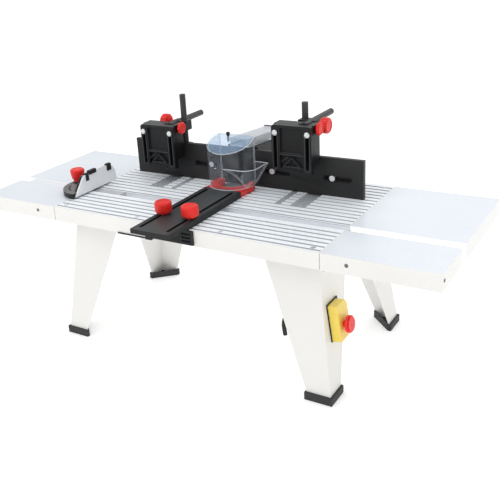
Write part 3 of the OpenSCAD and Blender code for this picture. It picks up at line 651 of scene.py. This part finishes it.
def feather_plate(side):
    """Moulded plate with two slots, two pockets in its front, braces and slanted ribs."""
    name = f"feather_{side}"
    lo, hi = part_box(name)
    middle = (lo.x + hi.x) / 2
    w = (hi.x - lo.x) / 2 / MM
    foot = (lo.z - hi.z) / MM
    thick = (hi.y - lo.y) / MM

    def at(depth):
        """For outlines measured from the middle of the top edge. They grow forwards from this depth."""
        return Matrix(((1, 0, 0, middle), (0, 0, -1, lo.y + depth * MM), (0, 1, 0, hi.z), (0, 0, 0, 1)))

    outline = arc(CORNER_R, 0, 90, 6, (w - CORNER_R, -CORNER_R))
    outline += arc(CORNER_R, 90, 180, 6, (CORNER_R - w, -CORNER_R))
    outline += [(-w, foot + FOOT_RISE + LEFT_CUT), (-w + LEFT_CUT, foot + FOOT_RISE)]
    outline += [(w - RIGHT_CUT, foot), (w, foot + RIGHT_CUT)]
    bm = bmesh.new()
    add_prism(bm, outline, at(thick), thick)
    plate = finish_mesh(f"{name}_plate", bm, "black_plastic", name, material=BLOCK_TOP)

    def slot(sign, radius):
        return upright_slot(sign * PLATE_SLOT_X, foot + PLATE_SLOT_FOOT, PLATE_SLOT_TOP, radius)

    cutter, detail = bmesh.new(), bmesh.new()
    for _, sign in SIDES:
        add_prism(cutter, slot(sign, PLATE_SLOT_R), at(thick + 1), thick + 2)
        add_ring(detail, slot(sign, RIM_OUT_R), slot(sign, RIM_IN_R), at(0.05), RIM_T)
    low_pocket = [(-LOW_POCKET_X, foot + LOW_POCKET_LEFT), (LOW_POCKET_X, foot + LOW_POCKET_RIGHT),
                  (LOW_POCKET_X, LOW_POCKET_TOP), (-LOW_POCKET_X, LOW_POCKET_TOP)]
    add_prism(cutter, POCKET, at(POCKET_DEPTH), THROUGH)
    add_prism(cutter, low_pocket, at(LOW_POCKET_DEPTH), THROUGH)
    cut(plate, cutter)
    add_prism(detail, SHELF, at(0.1), SHELF_T)
    for start, end in BRACES:
        add_prism(detail, strip(*start, *end, BRACE_W), at(FLOOR_SINK), BRACE_H)
    for i in range(RIB_COUNT):
        x = RIB_FIRST + i * RIB_STEP
        x0, x1 = max(-RIB_REACH, x), min(RIB_REACH, x + RIB_RUN)
        y0, y1 = (foot + FOOT_RISE + (end - x) * RIB_SLOPE for end in (x0, x1))
        if x1 - x0 > RIB_SHORTEST:
            add_prism(detail, strip(x0, y0, x1, y1, RIB_W), at(FLOOR_SINK), RIB_H)
    finish_mesh(f"{name}_ridges", detail, "black_plastic", name, material=LIT_RIDGES)
    shade(plate, 35)
    add_bevel(plate, 0.7)
    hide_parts(name)


BOLT_HEAD_R = 4.9
BOLT_SHANK_R = 2.4
BOLT_INSET = 4.6                  # from the side of the pair's box to a bolt's axis


def dome_bolts(side):
    """The two chrome bolts that a feather plate slides on."""
    name = f"feather_bolts_{side}"
    lo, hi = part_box(name)
    tip = (hi.y - lo.y) / MM
    # pairs of radius and height: shank, then the domed head
    profile = [(BOLT_SHANK_R, 0), (BOLT_SHANK_R, tip - 3.2), (4.6, tip - 3.1), (BOLT_HEAD_R, tip - 2.2),
               (4.6, tip - 1.1), (3.6, tip - 0.35), (2.0, tip + 0.15), (0, tip + 0.3)]
    bm = bmesh.new()
    for x in (lo.x + BOLT_INSET * MM, hi.x - BOLT_INSET * MM):
        add_lathe(bm, profile, frame_matrix((x, hi.y, (lo.z + hi.z) / 2), (0, -1, 0)), 32)
    ob = finish_mesh(f"{name}_domes", bm, "bright_steel", f"carrier_{side}", angle=50)
    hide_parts(name)


for side, _ in SIDES:
    feather_plate(side)
    dome_bolts(side)

# ------------------------------------------------------------------ seams and small screws on the sheet metal

SEAM_HALF_W, SEAM_HALF_T = 0.35, 0.12
SEAM_LOW_GAP, SEAM_HIGH_GAP = 0.5, 0.6     # left free at the apron's lower and upper edge
SCREW_HEAD_H = 0.8
SCREW_DROP = 12                   # screws on the folded wing edges sit this far under the wing top
WING_SCREW_IN = 40                # front screw from the seam
END_SCREW_IN = 9                  # end screw from the front corner
LEG_SCREW_Z = -48
LEG_SCREW_IN = 14                 # from the outer edge of the leg
LEG_LEAN_X, LEG_LEAN_Y = 0.139, 0.129      # a leg moves in this much for each mm up

apron_lo, apron_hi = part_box("table_apron")
bm = bmesh.new()
for x in (apron_lo.x, apron_hi.x):
    for y in (apron_lo.y, apron_hi.y):
        add_box(bm, (x - SEAM_HALF_W * MM, y - SEAM_HALF_T * MM, apron_lo.z + SEAM_LOW_GAP * MM),
                (x + SEAM_HALF_W * MM, y + SEAM_HALF_T * MM, apron_hi.z - SEAM_HIGH_GAP * MM))
finish_mesh("wing_seams", bm, "cream_paint", "frame", material=SEAM)


def screw(name, origin, axis, radius, slot_name):
    """Domed screw head with a small drive recess."""
    h = SCREW_HEAD_H
    profile = [(radius * 0.95, -0.4), (radius, 0.1), (radius * 0.9, h * 0.7), (radius * 0.55, h),
               (radius * 0.38, h), (radius * 0.3, h * 0.4), (0, h * 0.35)]
    bm = bmesh.new()
    add_lathe(bm, profile, frame_matrix(origin, axis), 28)
    finish_mesh(name, bm, slot_name, "frame", angle=50)


for side, sign in SIDES:
    lo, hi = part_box(f"wing_{side}")
    inner, outer = (lo.x, hi.x) if sign > 0 else (hi.x, lo.x)
    z = hi.z - SCREW_DROP * MM
    front = (inner + sign * WING_SCREW_IN * MM, lo.y, z)
    screw(f"wing_front_screw_{side}", front, (0, -1, 0), 3.0, "grey_plastic")
    end = (outer, lo.y + END_SCREW_IN * MM, z)
    screw(f"wing_end_screw_{side}", end, (sign, 0, 0), 2.9, "grey_plastic")
    for row, back in (("front", -1), ("back", 1)):
        lo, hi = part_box(f"leg_{row}_{side}")
        rise = LEG_SCREW_Z * MM - lo.z
        x = (hi.x if sign > 0 else lo.x) - sign * rise * LEG_LEAN_X
        y = (hi.y if back > 0 else lo.y) - back * (rise * LEG_LEAN_Y + LEG_SCREW_IN * MM)
        axis = (sign, 0, LEG_LEAN_X)
        screw(f"leg_{row}_{side}_screw", (x, y, LEG_SCREW_Z * MM), axis, 3.0, "bright_steel")

# ------------------------------------------------------------------ mitre gauge: slots, pivot ring and ticks

MARK_SINK, MARK_T, TICK_T = 0.3, 0.45, 0.42
DECK_ABOVE_BAR = 10.5
HEAD_MIDDLE_IN = 50               # middle of the head's arc from its left end
HEAD_MIDDLE_BELOW = 9.5           # and in front of the pivot
ARC_SLOT, ARC_SLOT_ENDS = (37, 40.5), ((200, 244), (116, 160))     # radii, and angles in degrees
PIVOT_RING = (9.5, 11.8)
TICK_COUNT, TICK_FIRST, TICK_STEP, TICK_WIDTH = 13, 118, 10, 1.0       # the last three in degrees
TICK_R, TICK_LENGTH, LONG_TICK_LENGTH = 43, 4, 5.5


def band(inner, outer, start, end, steps=20):
    """Part of a ring between two radii, with its angles in degrees."""
    return arc(outer, start, end, steps) + arc(inner, start, end, steps)[::-1]


pivot = centre("mitre_stud")
mark_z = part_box("mitre_bar")[1].z + (DECK_ABOVE_BAR - MARK_SINK) * MM
at_pivot = Matrix.Translation((pivot.x, pivot.y, mark_z))
head_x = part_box("mitre_head")[0].x + HEAD_MIDDLE_IN * MM
at_head = Matrix.Translation((head_x, pivot.y - HEAD_MIDDLE_BELOW * MM, mark_z))
bm = bmesh.new()
for start, end in ARC_SLOT_ENDS:
    add_prism(bm, band(*ARC_SLOT, start, end), at_head, MARK_T)
add_prism(bm, band(*PIVOT_RING, 0, 359), at_pivot, MARK_T)
for k in range(TICK_COUNT):
    start = TICK_FIRST + k * TICK_STEP
    length = TICK_LENGTH if k % 3 else LONG_TICK_LENGTH
    add_prism(bm, band(TICK_R, TICK_R + length, start, start + TICK_WIDTH, 1), at_head, TICK_T)
finish_mesh("mitre_scale_marks", bm, "black_plastic", "mitre_head")

# ------------------------------------------------------------------ dark filler that closes the front part of the fence slots: painted shade

FILLER_HALF_W = 3.9
FILLER_FRONT, FILLER_BACK = 85, 18         # in front of the lock knobs
FILLER_LOW, FILLER_HIGH = 5.6, 3.6         # under the table surface

for side, _ in SIDES:
    c = centre(f"fence_knob_{side}")
    # painted shade: a filler in the groove grey, under the surface, stands for the dark underside seen down the
    # slot
    bm = bmesh.new()
    add_box(bm, (c.x - FILLER_HALF_W * MM, c.y - FILLER_FRONT * MM, TABLE_TOP_Z - FILLER_LOW * MM),
            (c.x + FILLER_HALF_W * MM, c.y - FILLER_BACK * MM, TABLE_TOP_Z - FILLER_HIGH * MM))
    finish_mesh(f"slot_shade_{side}", bm, "ribbed_aluminium", "frame")

# ------------------------------------------------------------------ floor, light and camera, in metres

FLOOR_HALF = 20
FLOOR_FRONT, FLOOR_BACK = -22, 24
FLOOR_GAP = 0.0003
WORLD_LIGHT = 0.72
HORIZON, SKY = 0.10, 0.22                  # upward part of a view ray: white below, plain sky above
FLOAT_A, FLOAT_B = 2, 3                    # sockets of the Mix node when it mixes numbers
CAMERA_AT = (0.6599, -1.0568, 0.4207)
CAMERA_ANGLES = (33.57, 22.28, -4.05)      # yaw, pitch and roll, in degrees
CAMERA_LENS, CAMERA_SENSOR = 53.86, 36     # in mm
CAMERA_SHIFT = (0.0652, -0.0243)           # as parts of the sensor's width
CAMERA_RANGE = (0.05, 50)


def make_floor():
    """A pale floor that is see-through from below, so that the underside of the table shows."""
    z = first_bounds[0].z - FLOOR_GAP
    corners = ((-FLOOR_HALF, FLOOR_FRONT), (FLOOR_HALF, FLOOR_FRONT),
               (FLOOR_HALF, FLOOR_BACK), (-FLOOR_HALF, FLOOR_BACK))
    bm = bmesh.new()
    bm.faces.new([bm.verts.new((x, y, z)) for x, y in corners])
    floor = add_object("floor", mesh_from("floor", bm))
    material, tree, out = empty_material("pale floor")
    shader = node(tree, "ShaderNodeBsdfPrincipled", {
        "Base Color": (0.94, 0.94, 0.94, 1), "Roughness": 0.9, "Specular IOR Level": 0.1,
        "Emission Color": WHITE, "Emission Strength": 0.35})
    mix = node(tree, "ShaderNodeMixShader")
    tree.links.new(geometry(tree, "Backfacing"), mix.inputs["Fac"])
    tree.links.new(shader.outputs["BSDF"], mix.inputs[1])
    tree.links.new(node(tree, "ShaderNodeBsdfTransparent").outputs["BSDF"], mix.inputs[2])
    tree.links.new(mix.outputs["Shader"], out.inputs["Surface"])
    paint(floor, material)


def make_world():
    """Even light. The camera sees a white horizon, so floor and background join without a line."""
    world = bpy.data.worlds.new("studio")
    world.use_nodes = True
    tree = world.node_tree
    background = tree.nodes["Background"]
    background.inputs["Color"].default_value = WHITE
    direction = node(tree, "ShaderNodeTexCoord").outputs["Generated"]
    low_sky = ramp(tree, component(tree, direction, "Z"), (1.0, WORLD_LIGHT), (HORIZON, SKY))
    seen = node(tree, "ShaderNodeMix", data_type="FLOAT")
    tree.links.new(node(tree, "ShaderNodeLightPath").outputs["Is Camera Ray"], seen.inputs[MIX_FACTOR])
    seen.inputs[FLOAT_A].default_value = WORLD_LIGHT
    tree.links.new(low_sky, seen.inputs[FLOAT_B])
    tree.links.new(seen.outputs[0], background.inputs["Strength"])
    bpy.context.scene.world = world


def soft_light(name, where, target, size, power, colour=(1, 1, 1)):
    light = bpy.data.lights.new(name, "AREA")
    light.shape = "RECTANGLE"
    light.size, light.size_y = size
    light.energy = power
    light.color = colour
    ob = add_object(name, light)
    ob.location = where
    ob.rotation_euler = (Vector(target) - Vector(where)).to_track_quat("-Z", "Y").to_euler()


def make_camera():
    """Looks down on the table from its front right, slightly rolled."""
    yaw, pitch, roll = (math.radians(v) for v in CAMERA_ANGLES)
    ahead = Vector((-math.sin(yaw) * math.cos(pitch), math.cos(yaw) * math.cos(pitch), -math.sin(pitch)))
    level = ahead.cross(Vector(Z)).normalized()
    up = level.cross(ahead)
    right = math.cos(roll) * level + math.sin(roll) * up
    top = math.cos(roll) * up - math.sin(roll) * level
    data = bpy.data.cameras.new("photo view")
    data.sensor_width = CAMERA_SENSOR
    data.lens = CAMERA_LENS
    data.shift_x, data.shift_y = CAMERA_SHIFT
    data.clip_start, data.clip_end = CAMERA_RANGE
    stand = Matrix((right, top, -ahead)).transposed().to_4x4()
    stand.translation = Vector(CAMERA_AT)
    camera = add_object("photo view", data)
    camera.matrix_world = stand
    bpy.context.scene.camera = camera


make_floor()
make_world()
soft_light("key", (-0.9, -1.6, 1.9), (0, 0, -0.1), (1.6, 1.2), 11)
soft_light("top", (0.2, 0.3, 2.2), (0, 0, 0), (2.2, 1.8), 9, (0.93, 0.97, 1.0))
soft_light("back", (0.4, 2.0, 1.1), (0, 0, 0), (2.0, 1.0), 4)
make_camera()
bpy.context.scene.view_settings.view_transform = "Standard"
